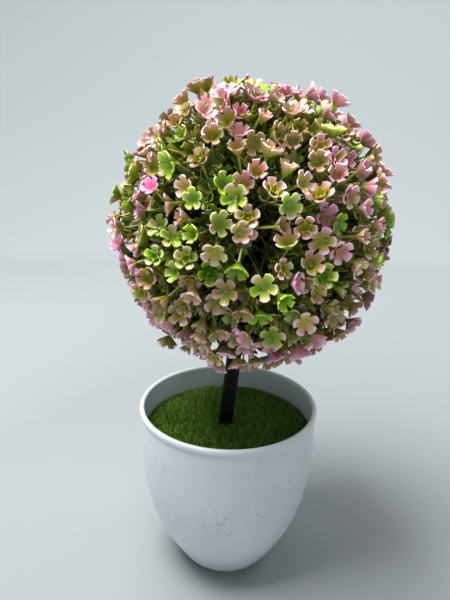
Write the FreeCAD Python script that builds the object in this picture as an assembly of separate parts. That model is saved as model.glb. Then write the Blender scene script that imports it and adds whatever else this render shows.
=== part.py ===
"""Artificial tabletop tree: a ball of moulded plastic blossom sprigs on a black stem, standing in a white pot.

The frame's origin is the centre of the pot's foot, where it stands. +Z is up, and the stem leans towards +X.
All sizes are in millimetres. Each piece of the real object is one named node, written to parts/NODE.step.

The pot is a thin shell. A plaster ballast in its bottom holds the stem and keeps the tree upright, a foam plug
fills the rest, and a disc of artificial turf lies on the foam. The stem is a tube, pressed into the collar of a
hollow core ball that is moulded in two halves. The core has a socket for each sprig. A sprig is one forked
moulding, and a cup-shaped blossom of five petals is pressed on each of its tips.
"""
import FreeCAD, Part
import math
import os
import random

Vector = FreeCAD.Vector
UP = Vector(0, 0, 1)
ORIGIN = Vector(0, 0, 0)

# Pot
POT_HEIGHT = 92.0
POT_WALL = 1.8
POT_FLOOR = 3.0
LIP_RADIUS = 47.6
LIP_WIDTH = 2.6
LIP_SKIRT = 3.3
FOOT_RADIUS = 24.0
FOOT_RING_WIDTH = 2.6
FOOT_RECESS = 1.5
FOOT_RING_SLOPE = 0.6
HEEL_RISE = 1.0
HEEL_WIDTH = 2.0
POT_SIDE = [(26.6, 2.9), (31.4, 11.0), (37.7, 23.0), (42.6, 37.0), (46.0, 55.0), (47.0, 73.0), (46.9, 87.4)]

# Filling of the pot
BALLAST_TOP = 32.0
FOAM_TOP = 75.4
FILL_GAP = 0.25
TURF_RADIUS = 44.8
TURF_BACKING = 1.2
TURF_PILE_EDGE = 2.4
TURF_PILE_RISE = 1.2
TURF_SHOULDER = 0.6
STEM_HOLE_GAP = 0.3

# Stem
STEM_RADIUS = 4.0
STEM_WALL = 1.2
STEM_LEAN_DEG = 5.4
STEM_BOTTOM = 16.0
STEM_CROSSES_AXIS_AT = 92.0

# Core ball
BALL_CENTRE_HEIGHT = 184.2
CORE_RADIUS = 29.0
CORE_WALL = 2.0
CORE_LAP = 2.5
COLLAR_WALL = 2.2
COLLAR_LENGTH = 16.0
COLLAR_END = 2.0
COLLAR_PROUD = 1.0
PRESS_GAP = 0.05
SOCKET_CUT_INSIDE = 5.0
SOCKET_CUT_OUTSIDE = 3.0

# Sprigs: rings of sockets on the core, as (latitude in degrees, how many, turn of the first in degrees)
SOCKET_RINGS = [(90, 1, 0), (47, 5, 20), (13, 7, 0), (-22, 7, 26), (-57, 4, 10)]
PLUG_RADIUS = 2.0
PLUG_LENGTH = 4.5
PLUG_IN_FLANGE = 0.35
FLANGE_RADIUS = 3.2
FLANGE_THICKNESS = 1.0
FLANGE_GAP = 0.25
MAIN_STALK_RADIUS = 1.1
SIDE_STALK_RADIUS = 0.75
TIP_STALK_RADIUS = 0.5
KNUCKLE = 1.5
MAIN_FORK_RADIUS = 37.5
SIDE_FORK_RADIUS = 47.0
SIDE_FORK_RADIUS_SPREAD = 2.0
SIDE_STALKS = 5
SIDE_STALK_SPLAY = 0.75

# Blossoms
BLOSSOM_COUNT = 540
BLOSSOM_RADIUS = 60.9
BLOSSOM_RADIUS_SPREAD = 2.2
BLOSSOM_NUDGE = 0.2
INNER_BLOSSOM_RADIUS = 53.0
INNER_BLOSSOM_RADIUS_SPREAD = 1.0
BALL_STRETCH = 1.045
PETALS = 5
PETAL_SHEET = 0.6
PETAL_TIP = 4.7
PETAL_SHOULDER = 0.92
PETAL_SHOULDER_DEG = 25.0
NOTCH = 2.8
CUP_FLOOR = 1.8
CUP_DEPTH = 3.6
CUP_HOLLOW_FLOOR = 0.85
CUP_HOLLOW_MOUTH = 0.97
HUB_RADIUS = 1.15
HUB_LENGTH = 1.6
HUB_IN_CUP = 0.3
PIN_DEPTH = 1.2
PIN_GAP = 0.15
CUT_MARGIN = 1.0
STEM_CLEARANCE_DEG = 13.0
# Partings, where the stalks and the core show: (towards +X in degrees, up in degrees, half-width in degrees)
PARTINGS = [(1, 12, 4.5), (2, 3, 6.0), (-2, -7, 4.5), (-40, 24, 4.0), (44, -18, 4.0), (150, 10, 5.0), (-110, -5, 5.0)]
SEED = 7


def polar(radius, angle, height=0.0):
    return Vector(radius * math.cos(angle), radius * math.sin(angle), height)


def turned(points_and_edges):
    """The solid that a closed outline in the XZ plane sweeps about the Z axis."""
    return Part.Face(Part.Wire(points_and_edges)).revolve(ORIGIN, UP, 360)


def line(a, b):
    return Part.LineSegment(a, b).toShape()


def curve(points):
    spline = Part.BSplineCurve()
    spline.interpolate(points)
    return spline.toShape()


def xz(radius, height):
    return Vector(radius, 0, height)


def export(shape, node):
    """Writes one node and prints what it holds."""
    solids = shape.Solids
    if not solids or not all(s.isValid() and s.isClosed() and s.Volume > 0 for s in solids):
        raise ValueError(node + " is not made of closed solids")
    shape.exportStep("parts/" + node + ".step")
    print(node, len(solids), "solid(s),", round(shape.Volume / 1000, 3), "cm3")


# ---------------------------------------------------------------- pot and its filling


def cavity(gap=0.0):
    """The space inside the pot, as a solid that stands clear of the wall by gap."""
    side = [xz(r - POT_WALL - gap, max(z, POT_FLOOR + HEEL_RISE)) for r, z in POT_SIDE]
    floor_edge = xz(side[0].x - HEEL_WIDTH, POT_FLOOR)
    top = xz(side[-1].x, POT_HEIGHT + CUT_MARGIN)
    return turned(
        [
            line(xz(0, POT_FLOOR), floor_edge),
            curve([floor_edge] + side),
            line(side[-1], top),
            line(top, xz(0, top.z)),
            line(xz(0, top.z), xz(0, POT_FLOOR)),
        ]
    )


def pot():
    side = [xz(FOOT_RADIUS, 0)] + [xz(r, z) for r, z in POT_SIDE]
    lip_low = xz(LIP_RADIUS, POT_HEIGHT - LIP_SKIRT)
    lip_shoulder = xz(LIP_RADIUS, POT_HEIGHT - LIP_WIDTH / 2)
    lip_crown = xz(LIP_RADIUS - LIP_WIDTH / 2, POT_HEIGHT)
    lip_inside = xz(LIP_RADIUS - LIP_WIDTH, POT_HEIGHT - LIP_WIDTH / 2)
    ring_inside = xz(FOOT_RADIUS - FOOT_RING_WIDTH, 0)
    recess_edge = xz(ring_inside.x - FOOT_RING_SLOPE, FOOT_RECESS)
    body = turned(
        [
            curve(side),
            line(side[-1], lip_low),
            line(lip_low, lip_shoulder),
            Part.Arc(lip_shoulder, lip_crown, lip_inside).toShape(),
            line(lip_inside, xz(0, lip_inside.z)),
            line(xz(0, lip_inside.z), xz(0, FOOT_RECESS)),
            line(xz(0, FOOT_RECESS), recess_edge),
            line(recess_edge, ring_inside),
            line(ring_inside, side[0]),
        ]
    )
    return body.cut(cavity())


def fill_slab(low, high, gap):
    """What fills the pot between two heights, clear of its wall by gap."""
    size = 3 * LIP_RADIUS  # wider than the pot
    slab = Part.makeBox(size, size, high - low, Vector(-size / 2, -size / 2, low))
    return cavity(gap).common(slab)


def turf_pile(low):
    """The turf's pile as one soft solid, a little higher in the middle."""
    edge = xz(TURF_RADIUS, low + TURF_PILE_EDGE)
    crown = xz(0, edge.z + TURF_PILE_RISE)
    shoulder = xz(TURF_RADIUS * TURF_SHOULDER, edge.z + TURF_PILE_RISE * (1 - TURF_SHOULDER**2))
    outline = [
        line(xz(0, low), xz(TURF_RADIUS, low)),
        line(xz(TURF_RADIUS, low), edge),
        Part.Arc(edge, shoulder, crown).toShape(),
        line(crown, xz(0, low)),
    ]
    return turned(outline)


# ---------------------------------------------------------------- stem and core

LEAN = math.radians(STEM_LEAN_DEG)
STEM_AXIS = Vector(math.sin(LEAN), 0, math.cos(LEAN))


def on_stem(height):
    """The point of the stem's axis at a height above the table."""
    return Vector((height - STEM_CROSSES_AXIS_AT) * math.tan(LEAN), 0, height)


BALL_CENTRE = on_stem(BALL_CENTRE_HEIGHT)
TO_BALL = FreeCAD.Placement(BALL_CENTRE, FreeCAD.Rotation(UP, STEM_AXIS))
COLLAR_TOP = -(CORE_RADIUS - COLLAR_LENGTH)


def stem_length():
    top = BALL_CENTRE + STEM_AXIS * COLLAR_TOP
    return (top - on_stem(STEM_BOTTOM)).Length


def stem():
    base = on_stem(STEM_BOTTOM)
    tube = Part.makeCylinder(STEM_RADIUS, stem_length(), base, STEM_AXIS)
    return tube.cut(Part.makeCylinder(STEM_RADIUS - STEM_WALL, stem_length(), base, STEM_AXIS))


def stem_hole(gap):
    """A long cylinder along the stem, to cut a hole for it."""
    return Part.makeCylinder(STEM_RADIUS + gap, stem_length(), on_stem(STEM_BOTTOM), STEM_AXIS)


def socket_directions():
    """The direction of each socket in the ball's own frame."""
    found = []
    for latitude, count, turn in SOCKET_RINGS:
        for i in range(count):
            around = math.radians(turn + 360.0 * i / count)
            up = math.radians(latitude)
            found.append(polar(math.cos(up), around, math.sin(up)))
    return found


def core_half(upper):
    """Half of the hollow core in the ball's own frame, with a lap at the equator. The lower half has the collar."""
    inside = CORE_RADIUS - CORE_WALL
    shell = Part.makeSphere(CORE_RADIUS).cut(Part.makeSphere(inside))
    size = 3 * CORE_RADIUS  # wider than the core
    corner = Vector(-size / 2, -size / 2, 0 if upper else -size)
    half = shell.common(Part.makeBox(size, size, size, corner))
    lap = Part.makeCylinder(CORE_RADIUS - CORE_WALL / 2, CORE_LAP, ORIGIN, UP)
    if upper:
        return half.cut(lap)
    lap_inside = Part.makeCylinder(inside - CUT_MARGIN, CORE_LAP, ORIGIN, UP)
    half = half.fuse(lap.cut(lap_inside).common(shell))
    foot = UP * -(CORE_RADIUS + COLLAR_PROUD)
    bore_length = COLLAR_PROUD + COLLAR_LENGTH
    collar = Part.makeCylinder(STEM_RADIUS + COLLAR_WALL, bore_length + COLLAR_END, foot, UP)
    bore = Part.makeCylinder(STEM_RADIUS + PRESS_GAP, bore_length, foot, UP)
    return half.fuse(collar).cut(bore).removeSplitter()


def core(upper, sockets):
    half = core_half(upper)
    for direction in sockets:
        start = direction * (CORE_RADIUS - SOCKET_CUT_INSIDE)
        length = SOCKET_CUT_INSIDE + SOCKET_CUT_OUTSIDE
        half = half.cut(Part.makeCylinder(PLUG_RADIUS + PRESS_GAP, length, start, direction))
    half.Placement = TO_BALL
    return half


# ---------------------------------------------------------------- sprigs


def bar(start, end, radius, sides=6):
    """A straight stalk with flat sides, from start to end."""
    turn = FreeCAD.Rotation(UP, end - start)
    corners = [start + turn.multVec(polar(radius, 2 * math.pi * i / sides)) for i in range(sides)]
    return Part.Face(Part.makePolygon(corners + [corners[0]])).extrude(end - start)


def mixed(a, b, share):
    """The direction between a and b, share of the way to b."""
    return (Vector(a).normalize() * (1 - share) + Vector(b).normalize() * share).normalize()


def in_ball(direction, radius):
    """A point of the ball, which stands a little taller than it is wide."""
    return Vector(direction.x, direction.y, direction.z * BALL_STRETCH) * radius


def parting_directions():
    found = []
    for right, up, half_width in PARTINGS:
        right, up = math.radians(right), math.radians(up)
        facing = Vector(math.sin(right) * math.cos(up), -math.cos(right) * math.cos(up), math.sin(up))
        found.append((TO_BALL.Rotation.inverted().multVec(facing), math.cos(math.radians(half_width))))
    return found


def blossom_points(draw):
    """Where the blossoms sit, spread evenly over the ball, with none at the stem or in a parting."""
    golden = math.pi * (3 - math.sqrt(5))
    spacing = math.sqrt(4 * math.pi / BLOSSOM_COUNT)
    stem_limit = -math.cos(math.radians(STEM_CLEARANCE_DEG))
    partings = parting_directions()
    found = []
    for i in range(BLOSSOM_COUNT):
        z = 1 - 2 * (i + 0.5) / BLOSSOM_COUNT
        direction = polar(math.sqrt(1 - z * z), i * golden, z)
        nudge = Vector(draw.uniform(-1, 1), draw.uniform(-1, 1), draw.uniform(-1, 1)) * (BLOSSOM_NUDGE * spacing)
        direction = (direction + nudge).normalize()
        radius = BLOSSOM_RADIUS + draw.uniform(-1, 1) * BLOSSOM_RADIUS_SPREAD
        parted = any(direction.dot(centre) > limit for centre, limit in partings)
        if direction.z > stem_limit and not parted:
            found.append(in_ball(direction, radius))
    return found


def around(axis, point):
    """The angle of a point about an axis through the ball's centre."""
    turn = FreeCAD.Rotation(UP, axis).inverted().multVec(point)
    return math.atan2(turn.y, turn.x)


def sprig_plan(axis, tips, draw):
    """The bars and knuckles of one stalk in the ball's own frame, and its pins, each as (place, direction)."""
    fork = axis * MAIN_FORK_RADIUS
    bars = [(axis * CORE_RADIUS, fork, MAIN_STALK_RADIUS)]
    knuckles = [(fork, axis, MAIN_STALK_RADIUS * KNUCKLE)]
    pins = []
    tips = sorted(tips, key=lambda p: around(axis, p))
    count = len(tips)
    for i in range(SIDE_STALKS):
        group = tips[count * i // SIDE_STALKS : count * (i + 1) // SIDE_STALKS]
        middle = sum(group, Vector(0, 0, 0)) / len(group)
        heading = mixed(axis, middle, SIDE_STALK_SPLAY)
        side_fork = in_ball(heading, SIDE_FORK_RADIUS + draw.uniform(-1, 1) * SIDE_FORK_RADIUS_SPREAD)
        bars.append((fork, side_fork, SIDE_STALK_RADIUS))
        knuckles.append((side_fork, (side_fork - fork).normalize(), SIDE_STALK_RADIUS * KNUCKLE))
        inner = in_ball(heading, INNER_BLOSSOM_RADIUS + draw.uniform(-1, 1) * INNER_BLOSSOM_RADIUS_SPREAD)
        for tip in [inner] + group:
            bars.append((side_fork, tip, TIP_STALK_RADIUS))
            pins.append((tip, (tip - side_fork).normalize()))
    return bars, knuckles, pins


def sprig_stalk(axis, bars, knuckles):
    """One forked stalk as one solid."""
    flange_low = CORE_RADIUS + FLANGE_GAP
    plug = Part.makeCylinder(PLUG_RADIUS, PLUG_LENGTH, axis * (flange_low + PLUG_IN_FLANGE - PLUG_LENGTH), axis)
    flange = Part.makeCylinder(FLANGE_RADIUS, FLANGE_THICKNESS, axis * flange_low, axis)
    branches = [bar(start, end, radius) for start, end, radius in bars]
    lumps = [bar(place - along * radius, place + along * radius, radius) for place, along, radius in knuckles]
    stalk = plug.multiFuse([flange] + branches + lumps)
    if len(stalk.Solids) != 1 or not stalk.Solids[0].isValid():
        raise ValueError("a stalk's branches don't join")
    return stalk.Solids[0]


def polygon(points):
    return Part.Face(Part.makePolygon(points + [points[0]]))


def five_sided(low_radius, low, high_radius, high):
    """A solid with a pentagon below, a pentagon above and flat sides, which face the petals' middles."""
    step = 2 * math.pi / PETALS
    below = [polar(low_radius, (i + 0.5) * step, low) for i in range(PETALS)]
    above = [polar(high_radius, (i + 0.5) * step, high) for i in range(PETALS)]
    sides = [polygon([below[i - 1], below[i], above[i], above[i - 1]]) for i in range(PETALS)]
    return Part.Solid(Part.Shell([polygon(below), polygon(above)] + sides))


def blossom():
    """One blossom with its socket's mouth at the origin, opening along +Z: a cup of five petals on a short hub."""
    step = 2 * math.pi / PETALS
    shoulder = math.radians(PETAL_SHOULDER_DEG)
    outline = []
    for i in range(PETALS):
        outline.append(polar(NOTCH, (i - 0.5) * step))
        outline.append(polar(PETAL_TIP * PETAL_SHOULDER, i * step - shoulder))
        outline.append(polar(PETAL_TIP, i * step))
        outline.append(polar(PETAL_TIP * PETAL_SHOULDER, i * step + shoulder))
    petals = polygon(outline).extrude(UP * (HUB_LENGTH + 2 * CUP_DEPTH))
    floor = HUB_LENGTH - HUB_IN_CUP
    wide = (2 * PETAL_TIP - CUP_FLOOR) / math.cos(step / 2)
    cup = five_sided(CUP_FLOOR, floor, wide, floor + 2 * CUP_DEPTH)
    hollow_low = floor + PETAL_SHEET
    hollow = five_sided(CUP_FLOOR * CUP_HOLLOW_FLOOR, hollow_low, wide * CUP_HOLLOW_MOUTH, hollow_low + 2 * CUP_DEPTH)
    hub = five_sided(HUB_RADIUS, 0, HUB_RADIUS, HUB_LENGTH)
    socket = TIP_STALK_RADIUS + PIN_GAP
    solid = petals.common(cup).cut(hollow).fuse(hub).removeSplitter()
    return solid.cut(five_sided(socket, -CUT_MARGIN, socket, PIN_DEPTH)).Solids[0]


def placed_blossom(pattern, tip, direction, draw):
    """The blossom on one pin, in the ball's own frame."""
    roll = FreeCAD.Rotation(UP, draw.uniform(0, 360.0 / PETALS))
    seat = tip - direction * PIN_DEPTH
    copy = pattern.copy()
    copy.Placement = FreeCAD.Placement(seat, FreeCAD.Rotation(UP, direction) * roll)
    return copy


# ---------------------------------------------------------------- the whole tree


def main():
    os.makedirs("parts", exist_ok=True)
    export(pot(), "pot")
    bare_hole = stem_hole(0)
    wide_hole = stem_hole(STEM_HOLE_GAP)
    export(fill_slab(POT_FLOOR, BALLAST_TOP, 0).cut(bare_hole), "ballast")
    export(fill_slab(BALLAST_TOP, FOAM_TOP, FILL_GAP).cut(wide_hole), "foam_plug")
    backing_top = FOAM_TOP + TURF_BACKING
    backing = Part.makeCylinder(TURF_RADIUS, TURF_BACKING, xz(0, FOAM_TOP))
    export(backing.cut(wide_hole), "turf_backing")
    export(turf_pile(backing_top).cut(wide_hole), "turf_pile")
    export(stem(), "stem")

    sockets = socket_directions()
    export(core(False, sockets), "core_lower")
    export(core(True, sockets), "core_upper")

    draw = random.Random(SEED)
    share = [[] for _ in sockets]
    for point in blossom_points(draw):
        nearest = max(range(len(sockets)), key=lambda k: sockets[k].dot(point))
        share[nearest].append(point)
    pattern = blossom()
    for k, axis in enumerate(sockets):
        bars, knuckles, pins = sprig_plan(axis, share[k], draw)
        stalk = sprig_stalk(axis, bars, knuckles)
        stalk.Placement = TO_BALL
        export(stalk, "sprig_%02d_stalk" % (k + 1))
        group = Part.Compound([placed_blossom(pattern, tip, direction, draw) for tip, direction in pins])
        group.Placement = TO_BALL
        export(group, "sprig_%02d_blossoms" % (k + 1))


main()
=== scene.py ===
# %% [markdown]
# # An artificial tabletop tree
# This lesson dresses a small artificial tree: a ball of moulded plastic blossoms on a black stem, standing in
# turf in a white pot. The working frame already holds every piece at its real size, in metres, with +Z up and
# the centre of the pot's foot at the origin. Here each visible piece gets its real surface, and the pieces whose
# look depends on fine shape (blossoms, turf, pot, stem) are modelled again in the place that the frame gives.

# %% Load the frame
import math
from collections import namedtuple

import bmesh
import bpy
import numpy as np
from mathutils import Matrix, Quaternion, Vector


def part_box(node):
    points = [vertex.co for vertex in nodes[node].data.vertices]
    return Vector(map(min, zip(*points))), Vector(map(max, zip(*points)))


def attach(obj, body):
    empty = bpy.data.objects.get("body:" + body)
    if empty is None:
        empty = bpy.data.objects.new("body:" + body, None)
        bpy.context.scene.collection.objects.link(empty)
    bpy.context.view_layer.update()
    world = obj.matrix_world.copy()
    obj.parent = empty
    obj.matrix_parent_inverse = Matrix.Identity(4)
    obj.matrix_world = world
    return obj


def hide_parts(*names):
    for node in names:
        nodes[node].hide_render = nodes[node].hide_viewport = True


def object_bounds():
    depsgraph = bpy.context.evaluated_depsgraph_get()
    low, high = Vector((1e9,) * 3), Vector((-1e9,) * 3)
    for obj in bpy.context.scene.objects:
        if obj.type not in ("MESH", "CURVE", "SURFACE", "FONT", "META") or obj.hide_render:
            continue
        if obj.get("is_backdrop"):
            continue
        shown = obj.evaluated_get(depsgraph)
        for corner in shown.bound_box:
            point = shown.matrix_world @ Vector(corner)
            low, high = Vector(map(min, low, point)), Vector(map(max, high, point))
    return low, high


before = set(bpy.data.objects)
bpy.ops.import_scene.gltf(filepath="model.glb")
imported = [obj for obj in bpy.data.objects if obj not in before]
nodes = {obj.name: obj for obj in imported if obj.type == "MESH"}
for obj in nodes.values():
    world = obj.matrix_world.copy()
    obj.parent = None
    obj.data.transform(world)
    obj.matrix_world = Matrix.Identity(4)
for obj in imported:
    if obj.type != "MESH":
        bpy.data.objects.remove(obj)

frame_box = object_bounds()
print("pieces in the frame:", len(nodes))

# %% [markdown]
# Everything below is measured in millimetres and turned to metres by one factor. Colours are written as the hex
# values that a screen shows, and one function turns them into the linear light that shaders work in.

# %% Units and colours
MM = 0.001
UP = Vector((0, 0, 1))


def colour(hex_value):
    """The linear colour of an sRGB hex value such as "#c98f94"."""
    parts = [int(hex_value[i : i + 2], 16) / 255 for i in (1, 3, 5)]
    linear = [p / 12.92 if p <= 0.04045 else ((p + 0.055) / 1.055) ** 2.4 for p in parts]
    return (*linear, 1.0)


print("white plastic is", [round(c, 3) for c in colour("#e4e7ea")])

# %% [markdown]
# A shader is a small network. Each node is added by one helper, which also sets the node's options and socket
# values and joins it to the nodes before it, so a material reads from top to bottom like a recipe.

# %% Helpers for materials


def add_node(tree, kind, links=None, values=None, **settings):
    """Adds a node with its settings, its socket values and the links that run into it."""
    node = tree.nodes.new(kind)
    for name, value in settings.items():
        setattr(node, name, value)
    for socket, value in (values or {}).items():
        node.inputs[socket].default_value = value
    for socket, source in (links or {}).items():
        tree.links.new(source, node.inputs[socket])
    return node


def new_material(name, roughness, ior=1.5):
    """An empty plastic: returns the material, its node tree, its main shader and its Object coordinates."""
    material = bpy.data.materials.new(name)
    material.use_nodes = True
    tree = material.node_tree
    shader = tree.nodes["Principled BSDF"]
    shader.inputs["Roughness"].default_value = roughness
    shader.inputs["IOR"].default_value = ior
    place = add_node(tree, "ShaderNodeTexCoord").outputs["Object"]
    return material, tree, shader, place


def ramp(tree, source, stops):
    """A colour ramp from (position, hex or grey) stops, driven by source."""
    node = add_node(tree, "ShaderNodeValToRGB", {"Fac": source})
    elements = node.color_ramp.elements
    while len(elements) < len(stops):
        elements.new(0.5)
    for element, (position, shade) in zip(elements, stops):
        element.position = position
        element.color = colour(shade) if isinstance(shade, str) else (shade, shade, shade, 1.0)
    return node.outputs["Color"]


def mixed(tree, share, first, second, blend="MIX"):
    """Blends two colours: share is a socket, or None for all of it, and second is a socket or a hex value."""
    node = add_node(tree, "ShaderNodeMix", data_type="RGBA", blend_type=blend)
    inputs = {socket.identifier: socket for socket in node.inputs}
    inputs["Factor_Float"].default_value = 1.0
    if share is not None:
        tree.links.new(share, inputs["Factor_Float"])
    tree.links.new(first, inputs["A_Color"])
    if isinstance(second, str):
        inputs["B_Color"].default_value = colour(second)
    else:
        tree.links.new(second, inputs["B_Color"])
    return {socket.identifier: socket for socket in node.outputs}["Result_Color"]


def wear(piece, material):
    """Gives a piece one material all over."""
    piece.data.materials.clear()
    piece.data.materials.append(material)


print("every finish here is built up from one Principled BSDF")

# %% [markdown]
# Modelling by hand in Blender means selecting something and running an operator on it. In a script the selecting
# is done by place: `pick` goes through the corners of the mesh in hand and selects those that a small test
# accepts. What repeats is modelled once, read as lists of corners and faces, and built again as often as needed.

# %% Helpers for modelling


def start_clean():
    """Leaves nothing selected, because operators act on all that is."""
    if bpy.context.object and bpy.context.object.mode != "OBJECT":
        bpy.ops.object.mode_set(mode="OBJECT")
    bpy.ops.object.select_all(action="DESELECT")


def hold(piece):
    """Makes one piece the selected and active one."""
    start_clean()
    piece.select_set(True)
    bpy.context.view_layer.objects.active = piece


def pick(wanted):
    """In edit mode, selects the corners whose place passes the test."""
    bpy.ops.mesh.select_mode(type="VERT")
    bpy.ops.mesh.select_all(action="DESELECT")
    mesh = bmesh.from_edit_mesh(bpy.context.edit_object.data)
    for corner in mesh.verts:
        if wanted(corner.co):
            corner.select_set(True)
    mesh.select_flush(True)
    bmesh.update_edit_mesh(bpy.context.edit_object.data)


def taken_apart(piece):
    """A modelled pattern as arrays of its corners and faces; the object itself is removed."""
    corners = np.array([corner.co for corner in piece.data.vertices])
    faces = [tuple(face.vertices) for face in piece.data.polygons]
    bpy.data.objects.remove(piece)
    return corners, faces


def built(name, corners, faces):
    """A new piece from its corners and faces."""
    mesh = bpy.data.meshes.new(name)
    mesh.from_pydata(corners.tolist(), [], faces)
    piece = bpy.data.objects.new(name, mesh)
    bpy.context.scene.collection.objects.link(piece)
    return piece


def note_down(piece, name, values, kind="FLOAT"):
    """Keeps one value for each corner with the mesh, for the materials to read."""
    attribute = piece.data.attributes.new(name, kind, "POINT")
    attribute.data.foreach_set("value" if kind == "FLOAT" else "color", values.ravel())


def turn_of(where):
    """The angle of a point about the Z axis, in degrees from 0 to 360."""
    return math.degrees(math.atan2(where.y, where.x)) % 360


print("turns are counted from +X, so +Y is at", turn_of(Vector((0, 1, 0))), "degrees")

# %% [markdown]
# ## The camera
# The tree is seen from a little above the ball's middle, close by, so that the pot's rim opens as an ellipse and
# the turf shows. A phone's wide lens held this near gives the strong taper. The camera stands on the -Y side and
# is a touch out of level.

# %% Place the camera
POT_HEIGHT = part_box("pot")[1].z
CAMERA_PLACE = Vector((-2.9 * MM, -221.6 * MM, POT_HEIGHT + 119.8 * MM))
CAMERA_DOWN_DEG = 15.95
CAMERA_ROLL_DEG = 1.2
LENS_MM = 27.06
SENSOR_MM = 36

camera_data = bpy.data.cameras.new("camera")
camera_data.lens = LENS_MM
camera_data.sensor_width = SENSOR_MM
camera_data.clip_start = 0.01
camera = bpy.data.objects.new("camera", camera_data)
bpy.context.scene.collection.objects.link(camera)
tilt = Matrix.Rotation(math.radians(90 - CAMERA_DOWN_DEG), 4, "X")
roll = Matrix.Rotation(math.radians(CAMERA_ROLL_DEG), 4, "Z")
camera.matrix_world = Matrix.Translation(CAMERA_PLACE) @ tilt @ roll
bpy.context.scene.camera = camera
print("camera stands", round(CAMERA_PLACE.z, 3), "m above the table")

# %% [markdown]
# ## One blossom
# On the real tree a blossom is one small moulding in soft polyethylene: a cup of five round petals that narrows
# to a collar, pushed on a stalk. There are hundreds, so the shape is kept to a few dozen faces. A filled circle
# is a good start: an inset gives the floor of the cup, moving corners makes the notches between petals, and the
# Solidify modifier gives the sheet its thickness. A second cup set inside the first, turned by half a petal,
# makes the fuller blossom.

# %% Model the cup of petals
PETALS = 5
PETAL_TURN = 360 / PETALS
CORNERS_PER_PETAL = 5
SHEET = 0.45 * MM
COLLAR = 1.2 * MM
COLLAR_SHARE = 0.55
# Stretches of a petal's rim, from 0 at its middle to 1 at the notch, and how far each sinks as a share of the depth
TIP, SHOULDER, NOTCH = (0, 0.25), (0.3, 0.7), (0.9, 1)
TIP_SINK, SHOULDER_SINK, NOTCH_SINK = 0.08, 0.04, 0.42
SHOULDER_PULL = 0.93


def petal_place(where):
    """How far round its petal a corner is: 0 at the petal's middle, 1 at the notch beside it."""
    off = turn_of(where) % PETAL_TURN
    return min(off, PETAL_TURN - off) / (PETAL_TURN / 2)


def model_cup(name, rim_mm, floor_mm, depth_mm, notch, curl, per_petal=CORNERS_PER_PETAL):
    """A cup of five petals with its floor at the origin, opening upwards."""
    rim, floor, depth = rim_mm * MM, floor_mm * MM, depth_mm * MM
    centre = (0, 0, depth)

    def shape_rim(stretch, width, sink):
        pick(lambda p: p.z > depth * 0.9 and stretch[0] <= petal_place(p) <= stretch[1])
        bpy.ops.transform.resize(value=(width, width, 1), center_override=centre)
        bpy.ops.transform.translate(value=(0, 0, -depth * sink))

    start_clean()
    bpy.ops.mesh.primitive_circle_add(vertices=PETALS * per_petal, radius=rim, fill_type="NGON", location=centre)
    cup = bpy.context.object
    cup.name = name
    bpy.ops.object.transform_apply(location=True, rotation=False, scale=False)
    start = -90 + (PETAL_TURN / per_petal / 2 if per_petal % 2 else 0)
    cup.data.transform(Matrix.Rotation(math.radians(start), 4, "Z"))
    bpy.ops.object.mode_set(mode="EDIT")
    bpy.ops.mesh.select_all(action="SELECT")
    bpy.ops.mesh.inset(thickness=rim - floor)
    pick(lambda p: p.to_2d().length < (floor + rim) / 2)
    bpy.ops.transform.translate(value=(0, 0, -depth))
    shape_rim(NOTCH, notch, NOTCH_SINK)
    shape_rim(SHOULDER, SHOULDER_PULL, SHOULDER_SINK)
    shape_rim(TIP, curl, TIP_SINK)
    bpy.ops.object.mode_set(mode="OBJECT")
    wall = cup.modifiers.new("sheet", "SOLIDIFY")
    wall.thickness = SHEET
    wall.offset = -1
    bpy.ops.object.modifier_apply(modifier="sheet")
    bpy.ops.object.mode_set(mode="EDIT")
    pick(lambda p: p.z < -SHEET / 2)
    bpy.ops.transform.resize(value=(COLLAR_SHARE, COLLAR_SHARE, 1), center_override=(0, 0, 0))
    bpy.ops.transform.translate(value=(0, 0, -COLLAR))
    bpy.ops.mesh.select_all(action="SELECT")
    bpy.ops.mesh.normals_make_consistent(inside=False)
    bpy.ops.object.mode_set(mode="OBJECT")
    return cup


print("a cup has", PETALS * CORNERS_PER_PETAL, "corners round its rim")

# %% [markdown]
# Six patterns are enough for the whole tree. The open cup and the half-open cup are single. The full blossom
# holds a second, smaller cup, and the young one is narrow and closed, with petals that are still green. Two
# plainer ones, with fewer corners, are for the blossoms that sit deeper in the ball. Each pattern is kept as
# arrays of its corners and faces, with the share of the way from collar to petal tip that the colours follow and
# the petal that each corner belongs to.

# %% Make the patterns
# Each cup: radius of rim and floor, and depth, in millimetres; width left at the notches and at the tips as a share
# of the rim; and the corners per petal where there are fewer
PATTERN_SHAPES = {
    "open": [(5.0, 1.4, 3.0, 0.52, 1.02)],
    "half_open": [(4.6, 1.4, 4.0, 0.54, 0.96)],
    "full": [(4.9, 1.4, 3.2, 0.52, 1.0), (2.7, 0.9, 2.6, 0.55, 1.0, 2)],
    "young": [(3.7, 1.2, 4.4, 0.5, 0.86)],
    "inner_open": [(5.1, 1.4, 3.0, 0.5, 1.0, 3)],
    "inner_closed": [(4.4, 1.3, 4.2, 0.52, 1.0, 3)],
}
INNER_LIFT = 0.5 * MM


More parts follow.
